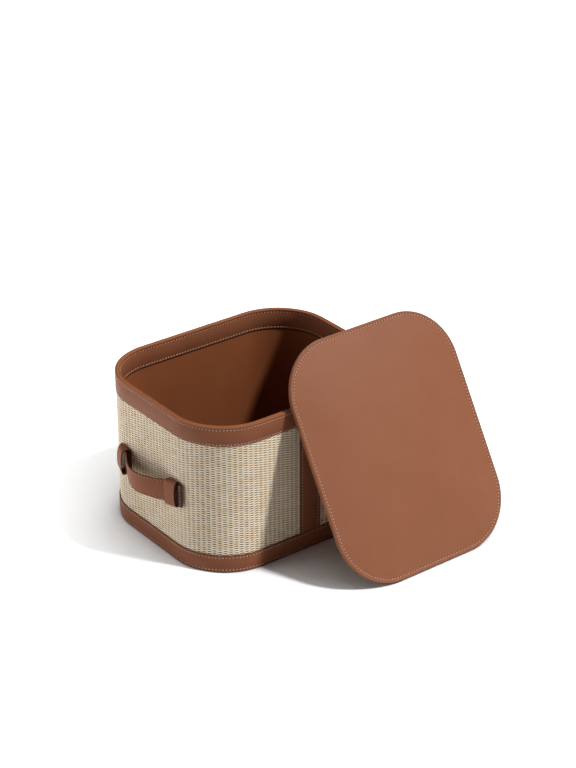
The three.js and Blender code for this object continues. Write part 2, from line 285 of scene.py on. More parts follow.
def new_material(name):
    material = bpy.data.materials.new(name)
    material.use_nodes = True
    material.node_tree.nodes.clear()
    return material, Graph(material.node_tree)


def finish_surface(graph, values, relief=None, strength=0.0, depth=0.0):
    """Shader and output. A relief, where there is one, stands out as a bump of this strength and depth."""
    if relief is not None:
        bump = graph.node("ShaderNodeBump", None, {
            "Strength": strength, "Distance": depth, "Height": relief})
        values = {**values, "Normal": bump["Normal"]}
    shader = graph.node("ShaderNodeBsdfPrincipled", None, values)
    graph.node("ShaderNodeOutputMaterial", None, {"Surface": shader["BSDF"]})


def noise(graph, place, size, detail=2.0, roughness=0.5):
    """Soft noise whose features are about this size."""
    made = graph.node("ShaderNodeTexNoise", None, {
        "Vector": place, "Scale": 1 / size, "Detail": detail, "Roughness": roughness})
    return made["Fac"]


def object_place(graph):
    return graph.node("ShaderNodeTexCoord")["Object"]


def attribute(graph, name):
    return graph.node("ShaderNodeAttribute", {"attribute_name": name})["Fac"]


def tone(graph, mask, *stops):
    """Colour along a ramp. Each stop is a place from 0 to 1 and the colour there."""
    return graph.node("ShaderNodeValToRGB", {"stops": stops}, {"Fac": mask})["Color"]


def smooth_step(graph, value, low, high):
    """0 below low and 1 above high, or the other way round where low is the greater."""
    return graph.node("ShaderNodeMapRange", {"interpolation_type": "SMOOTHSTEP"}, {
        "Value": value, "From Min": low, "From Max": high, "To Min": 0.0, "To Max": 1.0})["Result"]


def mix_colour(graph, mask, first, second, blend="MIX"):
    made = graph.node("ShaderNodeMix", {"data_type": "RGBA", "blend_type": blend}, {0: mask})
    for key, colour in ((6, first), (7, second)):
        if isinstance(colour, Wire):
            graph.tree.links.new(colour.socket, made.made.inputs[key])
        else:
            made.made.inputs[key].default_value = (*colour, 1.0)
    return Wire(graph, made.made.outputs[2])


# Grain of the leather, the cord and the lining
DYE_CLOUD = 38 * MM
DYE_FLECK = 2.2 * MM
PEBBLE = 0.9 * MM
CREASE = 0.35 * MM
SHINE_PATCH = 9 * MM
STRAW_PATCH = 26 * MM
FIBRE_LENGTH = 1.2 * MM
FIBRE_TWIST = 0.3 * MM
LINING_CLOUD = 60 * MM
LINING_NAP = 0.7 * MM

# Colours. The weave's come with where they begin and end, off a row's middle and off a float's crest
EDGE_PAINT = srgb(70, 30, 22)
# Painted shade on a strap in and beside a keeper's mouth
PAINTED_MOUTH_SHADE = srgb(34, 16, 10)
RIM_TAN = srgb(144, 85, 51)
STRAW_TONES = (srgb(234, 211, 177), srgb(243, 225, 198), srgb(250, 235, 213))
# The weave's furrow, dip and gap colours are painted shade, where the cord sinks between rows and behind
# the warps
FURROW_PAINTED_SHADE = srgb(150, 100, 50)
FURROW_OFF_ROW = (0.5, 1.0)
FURROW_OFF_CREST = (0.15, 0.5)
FURROW_SHADE = 0.75
DIP_PAINTED_SHADE = srgb(104, 54, 14)
DIP_OFF_CREST = (0.64, 0.78)
GAP_SHADE = srgb(22, 8, 2)
GAP_OFF_CREST = (0.73, 0.83)
GAP_OFF_ROW = (1.0, 0.9)
# Painted shade under the inner band's edge
UNDER_BAND_PAINTED_SHADE = srgb(20, 8, 4)


def leather_material(name, base, deep):
    """Smooth tanned leather with cloudy dye and a fine pebbled grain.

    Attributes on the points say where a stitch groove darkens it, where a rim is burnished to its crown,
    where a cut edge is painted, and where painted shade darkens a strap in and beside a keeper's mouth."""
    material, graph = new_material(name)
    place = object_place(graph)
    clouds = noise(graph, place, DYE_CLOUD, 4.0, 0.6)
    flecks = noise(graph, place, DYE_FLECK, 3.0, 0.6)
    dyed = tone(graph, clouds * 0.7 + flecks * 0.3, (0.32, deep), (0.68, base))
    grooved = mix_colour(graph, attribute(graph, "groove") * 0.45, dyed, deep, "MULTIPLY")
    burnished = mix_colour(graph, attribute(graph, "crown"), grooved, RIM_TAN)
    painted = mix_colour(graph, attribute(graph, "edge"), burnished, EDGE_PAINT)
    # Painted shade on a strap in and beside a keeper's mouth
    rubbed = mix_colour(graph, attribute(graph, "rubbed"), painted, PAINTED_MOUTH_SHADE)
    pebbles = graph.node("ShaderNodeTexVoronoi", {"feature": "SMOOTH_F1"}, {
        "Vector": place, "Scale": 1 / PEBBLE, "Smoothness": 0.6})["Distance"]
    creases = noise(graph, place, CREASE, 3.0, 0.6)
    height = pebbles * 0.6 + creases * 0.5
    shine = noise(graph, place, SHINE_PATCH, 3.0, 0.6) * 0.12 + 0.49
    values = {"Base Color": rubbed, "Roughness": shine, "Specular IOR Level": 0.16}
    finish_surface(graph, values, height, strength=0.22, depth=0.12 * MM)
    return material


def grained_material(name, grain, dark, light, roughness, **bump):
    """A plain finish. One fine grain, as size, detail and roughness, carries its tone and its bump."""
    material, graph = new_material(name)
    mask = noise(graph, object_place(graph), *grain)
    colour = tone(graph, mask, (0.3, dark), (0.7, light))
    finish_surface(graph, {"Base Color": colour, "Roughness": roughness}, mask if bump else None, **bump)
    return material


def thread_material():
    """Waxed linen thread: pale, with a twist."""
    return grained_material(
        "stitch_thread", (0.4 * MM, 2.0), srgb(192, 152, 130), srgb(220, 186, 166), 0.7,
        strength=0.3, depth=0.1 * MM)


def hole_shade_material():
    """Painted shade of the pricked hole at the end of a stitch."""
    return grained_material("stitch_hole_shade", (0.8 * MM,), srgb(52, 24, 18), srgb(74, 36, 26), 0.8)


def board_material():
    """Raw fibreboard, hidden by leather and lining."""
    return grained_material(
        "fibreboard", (1.2 * MM, 4.0, 0.7), srgb(118, 98, 76), srgb(150, 128, 102), 0.9,
        strength=0.4, depth=0.2 * MM)


def felt_material():
    """Dark felt under the box."""
    return grained_material(
        "sole_felt", (0.9 * MM, 5.0, 0.75), srgb(62, 46, 38), srgb(92, 70, 58), 0.95,
        strength=0.6, depth=0.3 * MM)


def cord_material():
    """Twisted paper cord. Each float has its own straw tone, with painted shade in the furrows between
    rows, in the dips behind the warps and in the gaps beside them.
    """
    material, graph = new_material("paper_cord")
    place = object_place(graph)
    weft = attribute(graph, "weft")
    row = (weft + 0.5).math("FLOOR")
    off_row = ((weft - row) * 2).math("ABSOLUTE")
    along = (attribute(graph, "warp") + row) * 0.5
    float_number = (along + 0.5).math("FLOOR")
    off_crest = ((along - float_number) * 2).math("ABSOLUTE")

    spot = combine(graph, X=float_number, Y=row)
    own_tone = graph.node("ShaderNodeTexWhiteNoise", {"noise_dimensions": "2D"}, {"Vector": spot})["Value"]
    tint = noise(graph, place, STRAW_PATCH, 3.0, 0.55)
    straw = tone(graph, own_tone * 0.7 + tint * 0.3, *zip((0.1, 0.5, 0.9), STRAW_TONES))
    across_furrow = smooth_step(graph, off_row, *FURROW_OFF_ROW)
    along_furrow = smooth_step(graph, off_crest, *FURROW_OFF_CREST)
    # Painted shade in the furrows, the dips and the gaps
    furrow_shaded = mix_colour(graph, across_furrow * along_furrow * FURROW_SHADE, straw, FURROW_PAINTED_SHADE)
    dip_shaded = mix_colour(graph, smooth_step(graph, off_crest, *DIP_OFF_CREST), furrow_shaded, DIP_PAINTED_SHADE)
    gap = smooth_step(graph, off_crest, *GAP_OFF_CREST) * smooth_step(graph, off_row, *GAP_OFF_ROW)
    shaded = mix_colour(graph, gap, dip_shaded, GAP_SHADE)

    fibres = graph.node("ShaderNodeMapping", None, {
        "Vector": place, "Scale": (1 / FIBRE_LENGTH, 1 / FIBRE_LENGTH, 1 / FIBRE_TWIST)})["Vector"]
    twist = noise(graph, fibres, 1.0)
    values = {"Base Color": shaded, "Roughness": 0.82, "Specular IOR Level": 0.2}
    finish_surface(graph, values, twist, strength=0.35, depth=0.12 * MM)
    return material


def lining_material():
    """Matt lining leather with a soft nap, and painted shade under the inner band's edge."""
    material, graph = new_material("lining_leather")
    place = object_place(graph)
    clouds = noise(graph, place, LINING_CLOUD, 3.0, 0.5)
    nap = noise(graph, place, LINING_NAP, 3.0, 0.6)
    dyed = tone(graph, clouds * 0.8 + nap * 0.2, (0.3, srgb(124, 70, 40)), (0.7, srgb(134, 78, 46)))
    # Painted shade under the inner band's edge
    shaded_under_band = mix_colour(graph, attribute(graph, "groove") * 0.9, dyed, UNDER_BAND_PAINTED_SHADE)
    values = {"Base Color": shaded_under_band, "Roughness": 0.8, "Specular IOR Level": 0.12}
    finish_surface(graph, values, nap, strength=0.25, depth=0.1 * MM)
    return material


LEATHER = leather_material("band_leather", srgb(133, 80, 54), srgb(124, 73, 48))
# The band leather made lighter inside the box: painted light
LIT_INNER_LEATHER = leather_material("inner_band_leather", srgb(139, 85, 58), srgb(130, 78, 52))
LID_LEATHER_FINISH = leather_material("lid_leather", srgb(143, 90, 63), srgb(137, 85, 59))
THREAD = thread_material()
HOLE_SHADE = hole_shade_material()
CORD = cord_material()
LINING = lining_material()
BOARD = board_material()
FELT = felt_material()


# Mesh helpers


def rounded_plan(length, depth, radius):
    """Arc centres and outward normals round a rounded rectangle, and its corner radius."""
    stations = []
    for corner, (sign_x, sign_y) in enumerate(((1, -1), (1, 1), (-1, 1), (-1, -1))):
        centre = (sign_x * (length / 2 - radius), sign_y * (depth / 2 - radius))
        for step in range(CORNER_STEPS + 1):
            angle = (corner - 1 + step / CORNER_STEPS) * math.pi / 2
            stations.append((*centre, math.cos(angle), math.sin(angle)))
    return np.array(stations), radius


def plan_points(plan, inset):
    """Points round the plan, drawn in by the inset."""
    stations, radius = plan
    return stations[:, :2] + (radius - inset) * stations[:, 2:]


def section_round(centre, radius, start):
    """Quarter circle of section points, from an angle in quarter turns."""
    angles = [(start + step / ROUND_STEPS) * math.pi / 2 for step in range(ROUND_STEPS + 1)]
    return [(centre[0] + radius * math.cos(a), centre[1] + radius * math.sin(a)) for a in angles]


def groove_profile(middle, width):
    """Depth of the leather across a stitch row, as places and depths."""
    depths = (0.0, GROOVE_SIDE_SHARE, 1.0, GROOVE_SIDE_SHARE, 0.0)
    return [(middle + width * (step - 2) / 4, depth) for step, depth in enumerate(depths)]


def strip_section(
        outer, thickness, low, high, rows=(), round_=EDGE_ROUND, face="outer", groove_width=GROOVE_WIDTH):
    """Closed section of a leather strip: (inset, height, edge, groove) for each point.

    The rows are grooves on the outer or the inner face. Edge is 1 on the rounded cut edges, and
    groove goes from 0 to 1 at the bottom of a groove."""
    inner = outer + thickness
    radius = min(round_, (thickness - LEAST_FLAT) / 2)

    def wall(inset, sign, going_up, grooved):
        points = []
        for row in sorted(rows) if grooved else ():
            for height, depth in groove_profile(row, groove_width):
                points.append((inset + sign * GROOVE_DEPTH * depth, height, 0.0, depth))
        return points if going_up else points[::-1]

    def corner(centre, start, face_first):
        arc = [(x, z, 1.0, 0.0) for x, z in section_round(centre, radius, start)]
        on_face = 0 if face_first else -1
        arc[on_face] = (*arc[on_face][:2], 0.0, 0.0)
        return arc

    section = []
    section += corner((outer + radius, low + radius), 2, True)
    section += corner((inner - radius, low + radius), 3, False)
    section += wall(inner, -1, True, face == "inner")
    section += corner((inner - radius, high - radius), 0, True)
    section += corner((outer + radius, high - radius), 1, False)
    section += wall(outer, 1, False, face == "outer")
    return section


def add_object(name, data):
    made = bpy.data.objects.new(name, data)
    bpy.context.scene.collection.objects.link(made)
    return made


def mesh_object(name, points, faces, material, attributes=None):
    """A smooth mesh with sharp creases. Each attribute holds one number for each point."""
    mesh = bpy.data.meshes.new(name)
    mesh.from_pydata([tuple(p) for p in points], [], faces)
    for key, values in (attributes or {}).items():
        layer = mesh.attributes.new(key, "FLOAT", "POINT")
        layer.data.foreach_set("value", np.asarray(values, dtype=np.float32))
    mesh.materials.append(material)
    mesh.shade_smooth()
    mesh.set_sharp_from_angle(angle=SHARP_ANGLE)
    return add_object(name, mesh)


class Skin:
    """Points of a closed mesh, each with its shares of the finishes that its material reads."""

    def __init__(self, *finishes):
        self.points = []
        self.shares = {finish: [] for finish in finishes}

    def add(self, point, *shares):
        self.points.append(point)
        for values, share in zip(self.shares.values(), shares):
            values.append(share)

    def close(self, name, faces, material):
        """Makes the mesh and turns its faces to point out."""
        made = mesh_object(name, self.points, faces, material, self.shares)
        work = bmesh.new()
        work.from_mesh(made.data)
        bmesh.ops.recalc_face_normals(work, faces=work.faces)
        if work.calc_volume(signed=True) < 0:
            bmesh.ops.reverse_faces(work, faces=work.faces)
        work.to_mesh(made.data)
        work.free()
        made.data.set_sharp_from_angle(angle=SHARP_ANGLE)
        return made


def grid_faces(rows, columns, close_rows):
    """Faces between rows of points. Each row is closed, and close_rows joins the last row to the first."""
    faces = []
    for row in range(rows if close_rows else rows - 1):
        for column in range(columns):
            next_row = (row + 1) % rows
            next_column = (column + 1) % columns
            faces.append((
                row * columns + column, row * columns + next_column,
                next_row * columns + next_column, next_row * columns + column))
    return faces


def strap_faces(rows, columns):
    """Faces of a strap made of closed sections, with its two ends closed."""
    last = (rows - 1) * columns
    ends = [tuple(range(columns)), tuple(range(last, last + columns))[::-1]]
    return grid_faces(rows, columns, False) + ends


def hoop(name, plan, section, material, crown_from=math.inf):
    """A strip carried all the way round the plan. Its edges are painted, or burnished above crown_from."""
    skin = Skin("edge", "crown", "groove")
    rings = [plan_points(plan, inset) for inset, *_ in section]
    for station in range(len(plan[0])):
        for ring, (_, height, edge, groove) in zip(rings, section):
            crown = edge if height > crown_from else 0.0
            skin.add((*ring[station], height), edge - crown, crown, groove)
    return skin.close(name, grid_faces(len(plan[0]), len(section), True), material)


def slab(name, plan, profile, material, place=Matrix.Identity(4)):
    """A profile carried round the plan and closed across the middle at both ends."""
    count = len(plan[0])
    skin = Skin("edge", "groove")
    for inset, height, edge, groove in profile:
        for x, y in plan_points(plan, inset):
            skin.add(place @ Vector((x, y, height)), edge, groove)
    faces = grid_faces(len(profile), count, False)
    for row, turned in ((0, True), (len(profile) - 1, False)):
        hub = len(skin.points)
        skin.add(place @ Vector((0, 0, profile[row][1])), 0.0, 0.0)
        for column in range(count):
            a, b = row * count + column, row * count + (column + 1) % count
            faces.append((hub, b, a) if turned else (hub, a, b))
    return skin.close(name, faces, material)


# Geometry node trees


def new_tree(name, inputs):
    """A geometry tree with named number inputs. Returns the tree, its graph and the inputs as wires."""
    tree = bpy.data.node_groups.new(name, "GeometryNodeTree")
    tree.interface.new_socket("Geometry", in_out="INPUT", socket_type="NodeSocketGeometry")
    tree.interface.new_socket("Geometry", in_out="OUTPUT", socket_type="NodeSocketGeometry")
    for label in inputs:
        tree.interface.new_socket(label, in_out="INPUT", socket_type="NodeSocketFloat")
    graph = Graph(tree)
    return tree, graph, graph.node("NodeGroupInput")


def apply_tree(carrier, name, tree, values):
    """Runs a tree on a carrier and turns the result into a plain mesh object."""
    modifier = carrier.modifiers.new(name, "NODES")
    modifier.node_group = tree
    for item in tree.interface.items_tree:
        if item.item_type == "SOCKET" and item.in_out == "INPUT" and item.name in values:
            modifier[item.identifier] = float(values[item.name])
    evaluated = carrier.evaluated_get(bpy.context.evaluated_depsgraph_get())
    mesh = bpy.data.meshes.new_from_object(evaluated)
    mesh.name = name
    carrier.modifiers.remove(modifier)
    bpy.data.objects.remove(carrier)
    return add_object(name, mesh)


def stored(graph, geometry, name, value, kind="FLOAT", domain="POINT"):
    """Geometry with a value kept on it as a named attribute."""
    return graph.node("GeometryNodeStoreNamedAttribute", {"data_type": kind, "domain": domain}, {
        "Geometry": geometry, "Name": name, "Value": value})["Geometry"]


def kept_value(graph, name, kind="FLOAT"):
    """The named attribute that an earlier step kept, or that the carrier has."""
    return graph.node("GeometryNodeInputNamedAttribute", {"data_type": kind}, {"Name": name})["Attribute"]


def real_and_dressed(graph, geometry, material):
    """Real geometry of the instances, smooth and with its material."""
    real = graph.node("GeometryNodeRealizeInstances", None, {"Geometry": geometry})["Geometry"]
    smooth = graph.node("GeometryNodeSetShadeSmooth", None, {"Geometry": real})["Geometry"]
    dressed = graph.node("GeometryNodeSetMaterial", None, {"Geometry": smooth, "Material": material})
    return dressed["Geometry"]


def path_object(name, paths):
    """Edges along stitch rows. Each path is (points, facings, closed), and keeps the way it faces."""
    points, facings, edges = [], [], []
    for path, path_facings, closed in paths:
        first = len(points)
        points += [tuple(p) for p in path]
        facings += [tuple(f) for f in path_facings]
        edges += [(first + i, first + i + 1) for i in range(len(path) - 1)]
        if closed:
            edges.append((len(points) - 1, first))
    mesh = bpy.data.meshes.new(name)
    mesh.from_pydata(points, edges, [])
    layer = mesh.attributes.new("facing", "FLOAT_VECTOR", "POINT")
    layer.data.foreach_set("vector", np.asarray(facings, dtype=np.float32).ravel())
    return add_object(name, mesh)


def stitch_tree():
    """Saddle stitches with a dark disc of painted shade for the pricked hole between each two, along every
    path of the carrier.
    """
    tree, graph, given = new_tree("saddle_stitches", ("Pitch", "Length", "Width", "Height", "Slant"))
    curve = graph.node("GeometryNodeMeshToCurve", None, {"Mesh": given["Geometry"]})["Curve"]
    spaced = graph.node("GeometryNodeResampleCurve", {"mode": "LENGTH"}, {
        "Curve": curve, "Length": given["Pitch"]})["Curve"]

    ball = graph.node("GeometryNodeMeshUVSphere", None, {"Segments": 6, "Rings": 5, "Radius": 0.5})["Mesh"]
    size = combine(graph, X=given["Length"], Y=given["Width"], Z=given["Height"] * 2)
    stitch = graph.node("GeometryNodeTransform", None, {"Geometry": ball, "Scale": size})["Geometry"]
    disc_size = combine(
        graph, X=given["Width"] * HOLE_LENGTH_SHARE, Y=given["Width"] * HOLE_WIDTH_SHARE,
        Z=given["Height"] * HOLE_HEIGHT_SHARE)
    disc_place = combine(graph, X=given["Pitch"] * 0.5)
    disc = graph.node("GeometryNodeTransform", None, {
        "Geometry": ball, "Scale": disc_size, "Translation": disc_place})["Geometry"]
    marked = stored(graph, disc, "pricked", 1.0, domain="FACE")
    unit = graph.node("GeometryNodeJoinGeometry")
    for part in (marked, stitch):
        graph.tree.links.new(part.socket, unit.made.inputs["Geometry"])

    tangent = graph.node("GeometryNodeInputTangent")["Tangent"]
    kept = stored(graph, spaced, "along", tangent, "FLOAT_VECTOR")
    points = graph.node("GeometryNodeCurveToPoints", {"mode": "EVALUATED"}, {"Curve": kept})["Points"]
    turned = graph.node("FunctionNodeAlignRotationToVector", {"axis": "X"}, {
        "Vector": kept_value(graph, "along", "FLOAT_VECTOR")})["Rotation"]
    faced = graph.node("FunctionNodeAlignRotationToVector", {"axis": "Z", "pivot_axis": "X"}, {
        "Rotation": turned, "Vector": kept_value(graph, "facing", "FLOAT_VECTOR")})["Rotation"]
    least, most = STITCH_SWAY_SHARES
    sway = graph.node("FunctionNodeRandomValue", {"data_type": "FLOAT"}, {
        "Min": least, "Max": most, "Seed": STITCH_SEED})
    slanted = graph.node("FunctionNodeRotateRotation", {"rotation_space": "LOCAL"}, {
        "Rotation": faced, "Rotate By": combine(graph, Z=given["Slant"] * sway[1])})["Rotation"]
    placed = graph.node("GeometryNodeInstanceOnPoints", None, {
        "Points": points, "Instance": unit["Geometry"], "Rotation": slanted})["Instances"]
    threaded = real_and_dressed(graph, placed, THREAD)
    # The hole discs take the painted shade
    is_hole = graph.node("FunctionNodeCompare", {"data_type": "FLOAT", "operation": "GREATER_THAN"}, {
        0: kept_value(graph, "pricked"), 1: 0.5})["Result"]
    holed = graph.node("GeometryNodeSetMaterial", None, {
        "Geometry": threaded, "Selection": is_hole, "Material": HOLE_SHADE})["Geometry"]
    graph.node("NodeGroupOutput", None, {"Geometry": holed})
    return tree


def weave_tree():
    """Plain weave along the carrier's path: weft rows that rise over and dip behind the warps.

    The carrier is the panel's outer line. A grid takes its place along the line, and
    each row swells where it comes to the front and narrows where it dips."""
    tree, graph, given = new_tree("plain_weave", ("Rows", "Columns", "Foot", "Weft", "Relief"))
    curve = graph.node("GeometryNodeMeshToCurve", None, {"Mesh": given["Geometry"]})["Curve"]
    grid = graph.node("GeometryNodeMeshGrid", None, {
        "Size X": given["Columns"], "Size Y": given["Rows"],
        "Vertices X": given["Columns"] * GRID_STEPS_A_COLUMN + 1,
        "Vertices Y": given["Rows"] * GRID_STEPS_A_ROW + 1})["Mesh"]
    place = graph.node("ShaderNodeSeparateXYZ", None, {
        "Vector": graph.node("GeometryNodeInputPosition")["Position"]})
    even_column = place["X"] + given["Columns"] * 0.5

    # The grid's columns draw near the warps, where the rows dip, and its rows fall on the furrows
    column = even_column - (even_column * (2 * math.pi)).math("SINE") * DRAW_TO_WARP
    height = place["Y"] + given["Rows"] * 0.5 + 1 / (2 * GRID_STEPS_A_ROW)
    row = (height + 0.5).math("FLOOR")
    off_row = height - row
    crest = ((column + row) * math.pi).math("COSINE")

    # The row's edges move out where it rises and in where it dips
    width = crest * (2 * ROW_SWELL) * off_row + off_row
    level = (row + width) * given["Weft"] + given["Foot"]

    # Depth of the row's middle, and of the furrow where two rows meet
    dip = (0.5 - crest * 0.5).math("POWER", DIP_SHARPNESS)
    edge_share = (off_row * 2).math("ABSOLUTE")
    round_off = edge_share * edge_share
    furrow = FURROW_HEIGHT - crest.math("ABSOLUTE") * FURROW_SAG
    depth = (1 - dip * DIP_DEPTH) * (1 - round_off) + furrow * round_off
    wander_place = combine(graph, X=column * WANDER_A_COLUMN, Y=row * WANDER_A_ROW)
    lively = depth + (noise(graph, wander_place, 1.0, 1.0) - 0.5) * WANDER

    stretch = graph.node("GeometryNodeSampleCurve", {"mode": "FACTOR", "use_all_curves": True}, {
        "Curves": curve, "Factor": column / given["Columns"]})
    outward = vector_math(graph, "CROSS_PRODUCT", {0: stretch["Tangent"], 1: (0, 0, 1)})
    sink = vector_math(graph, "SCALE", {0: outward, "Scale": (lively - 1) * given["Relief"]})
    on_line = vector_math(graph, "ADD", {0: stretch["Position"], 1: sink})
    target = vector_math(graph, "ADD", {0: on_line, 1: combine(graph, Z=level)})

    noted = stored(graph, stored(graph, grid, "warp", column), "weft", height)
    moved = graph.node("GeometryNodeSetPosition", None, {"Geometry": noted, "Position": target})
    graph.node("NodeGroupOutput", None, {"Geometry": real_and_dressed(graph, moved["Geometry"], CORD)})
    return tree


BOX_PLAN = rounded_plan(LENGTH, DEPTH, CORNER_RADIUS)
stitch_rows = {"box": [], "lid": [], "handle_left": [], "handle_right": []}


def add_hoop_row(inset, height, facing_out):
    """A stitch row round the box, on an outer or inner face."""
    points = [(x, y, height) for x, y in plan_points(BOX_PLAN, inset)]
    sign = 1 if facing_out else -1
    facings = [(sign * nx, sign * ny, 0) for nx, ny in BOX_PLAN[0][:, 2:]]
    stitch_rows["box"].append((points, facings, True))


def finish_piece(piece, body, slot, *nodes):
    """Puts the piece under its body's empty and hides the solids that it takes the place of. The slot is
    not used.
    """
    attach(piece, body)
    if nodes:
        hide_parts(*nodes)


# Bands and lining of the box


def make_band(node, thickness, rows, material=LEATHER, face="outer", crown_from=math.inf):
    """A leather hoop over its plain solid, with its stitch rows."""
    inset = outer_inset(node)
    section = strip_section(inset, thickness, foot_of(node), top_of(node), rows, face=face)
    band = hoop(f"{node}_leather", BOX_PLAN, section, material, crown_from)
    finish_piece(band, "box", "leather", node)
    sewn_inset = inset + GROOVE_DEPTH if face == "outer" else inset + thickness - GROOVE_DEPTH
    for row in rows:
        add_hoop_row(sewn_inset, row, face == "outer")


def make_bands():
    rim_row = HEIGHT - BAND_TOP_ROW
    rim_round = HEIGHT - EDGE_ROUND
    rows = (rim_row, foot_of("top_band") + BAND_FOOT_ROW)
    make_band("top_band", TOP_BAND_THICKNESS, rows, crown_from=rim_round)
    rows = (rim_row, foot_of("inner_band") + BAND_FOOT_ROW)
    # The inner band's lighter leather is painted light
    make_band("inner_band", INNER_BAND_THICKNESS, rows, LIT_INNER_LEATHER, "inner", rim_round)
    rows = (top_of("bottom_band") - BAND_TOP_ROW, foot_of("bottom_band") + BAND_TOP_ROW)
    make_band("bottom_band", BOTTOM_BAND_THICKNESS, rows)
    make_band("rim_strip", RIM_STRIP_WIDTH, (), crown_from=0)


def sheet_profile(inset, low, high):
    """Profile of a flat sheet with rounded edges."""
    return [
        (inset + THIN_ROUND, low, 0, 0), (inset, low + THIN_ROUND, 0, 0),
        (inset, high - THIN_ROUND, 0, 0), (inset + THIN_ROUND, high, 0, 0)]


def make_lining():
    # The lining's shallow groove under the inner band carries painted shade
    under_band_shade = foot_of("inner_band") - UNDER_BAND_SHADE_WIDTH * UNDER_BAND_SHADE_DROP_SHARE
    section = strip_section(
        outer_inset("wall_lining"), LINING_THICKNESS, foot_of("wall_lining"), top_of("wall_lining"),
        (under_band_shade,), round_=THIN_ROUND, face="inner", groove_width=UNDER_BAND_SHADE_WIDTH)
    wall = hoop("wall_lining_leather", BOX_PLAN, section, LINING)
    finish_piece(wall, "box", "lining", "wall_lining")
    pad = slab("floor_pad_leather", BOX_PLAN, sheet_profile(
        outer_inset("floor_pad"), foot_of("floor_pad"), top_of("floor_pad")), LINING)
    finish_piece(pad, "box", "lining", "floor_pad")


# Woven panels


def make_weave():
    tree = weave_tree()
    face = outer_inset("woven_panel_left")
    foot = top_of("bottom_band") - WEAVE_TUCK
    top = top_of("woven_panel_left")
    rows = round((top - foot) / WEFT_PITCH)
    points = plan_points(BOX_PLAN, face)
    half = len(points) // 2
    rear_y, front_y = DEPTH / 2 - face, face - DEPTH / 2
    lines = {
        "right": [(seam_x("front", 1), front_y), *points[:half], (seam_x("rear", 1), rear_y)],
        "left": [(seam_x("rear", -1), rear_y), *points[half:], (seam_x("front", -1), front_y)],
    }
    for side, line in lines.items():
        line = np.array(line)
        length = np.linalg.norm(np.diff(line, axis=0), axis=1).sum()
        carrier = path_object(f"panel_line_{side}", [(
            [(x, y, 0) for x, y in line], [(0, 0, 1)] * len(line), False)])
        panel = apply_tree(carrier, f"weave_{side}", tree, {
            "Rows": rows, "Columns": round(length / WARP_PITCH), "Foot": foot,
            "Weft": (top - foot) / rows, "Relief": WEAVE_RELIEF})
        finish_piece(panel, "box", "paper_cord", f"woven_panel_{side}")


def seam_x(end, sign):
    """Where a panel ends beside the middle of a seam."""
    low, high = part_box(f"seam_strap_{end}")
    return (low[0] + high[0]) / 2 + sign * SEAM_GAP / 2


# Straps over the seams


def make_seam_strap(end, sign):
    low, high = (Vector(corner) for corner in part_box(f"seam_strap_{end}"))
    middle = (low.x + high.x) / 2
    half = (high.x - low.x) / 2
    thickness = high.y - low.y
    face = high.y if sign > 0 else low.y
    row = half - BAND_TOP_ROW
    section = strip_section(0, thickness, -half, half, (-row, row), round_=SEAM_STRAP_ROUND)
    skin = Skin("edge", "groove")
    levels = [low.z, low.z + THIN_ROUND, high.z - THIN_ROUND, high.z]
    for z in levels:
        for inset, across, edge, groove in section:
            cut = 1.0 if z in (low.z, high.z) else edge
            skin.add((middle + across, face - sign * inset, z), cut, groove)
    node = f"seam_strap_{end}"
    strap = skin.close(f"{node}_leather", strap_faces(len(levels), len(section)), LEATHER)
    finish_piece(strap, "box", "leather", node)
    for across in (-row, row):
        path = [
            (middle + across, face - sign * GROOVE_DEPTH, z)
            for z in (low.z + SEAM_STITCH_END, high.z - SEAM_STITCH_END)]
        stitch_rows["box"].append((path, [(0, sign, 0)] * 2, False))


# Handle straps and their keepers


def bezier(start, start_pull, end_pull, end, share):
    """Point at a share of the way along a curve that leaves and arrives towards its two pulls."""
    rest = 1 - share
    weights = (rest ** 3, 3 * rest ** 2 * share, 3 * rest * share ** 2, share ** 3)
    return tuple(np.dot(weights, (start, start_pull, end_pull, end)))


@dataclass
class StrapStation:
    """One cross-section of a handle strap. Painted is the share of dark edge paint on the fold, which also
    stands for painted shade there, and mouth shade is the share of painted shade in and beside a keeper's
    mouth.
    """

    along: float
    out: float
    slope: float = 0.0
    lean: float = 0.0
    thickness: float = STRAP_THICKNESS
    half: float = STRAP_HALF_WIDTH
    lift: float = 0.0
    painted: float = 0.0
    rubbed: float = 0.0

    @property
    def bare(self):
        """Plain leather, with grooves and stitches."""
        return not self.painted and not self.rubbed


STRAP_FLAT_OUT = SEAT_GAP + KEEPER_LEATHER + STRAP_PLAY + STRAP_THICKNESS
KEEPER_INNER, KEEPER_OUTER = (corner[1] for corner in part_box("keeper_left_rear"))
STRAP_FLAT_START = KEEPER_OUTER - STRAP_FLAT_LEAD
STRAP_ROW = STRAP_HALF_WIDTH - STRAP_STITCH_ROW
HANDLE_HEIGHT = (foot_of("keeper_left_front") + top_of("keeper_left_front")) / 2
WEAVE_FACE = LENGTH / 2 - outer_inset("woven_panel_left")


def strap_bow(steps):
    """Outer face of the bow from the strap's middle to its flat part, as (along, out)."""
    return [bezier(
        (0, STRAP_BOW), (STRAP_FLAT_START * STRAP_MIDDLE_PULL_SHARE, STRAP_BOW),
        (STRAP_FLAT_START * (1 - STRAP_END_PULL_SHARE), STRAP_FLAT_OUT),
        (STRAP_FLAT_START, STRAP_FLAT_OUT), step / steps) for step in range(steps + 1)]


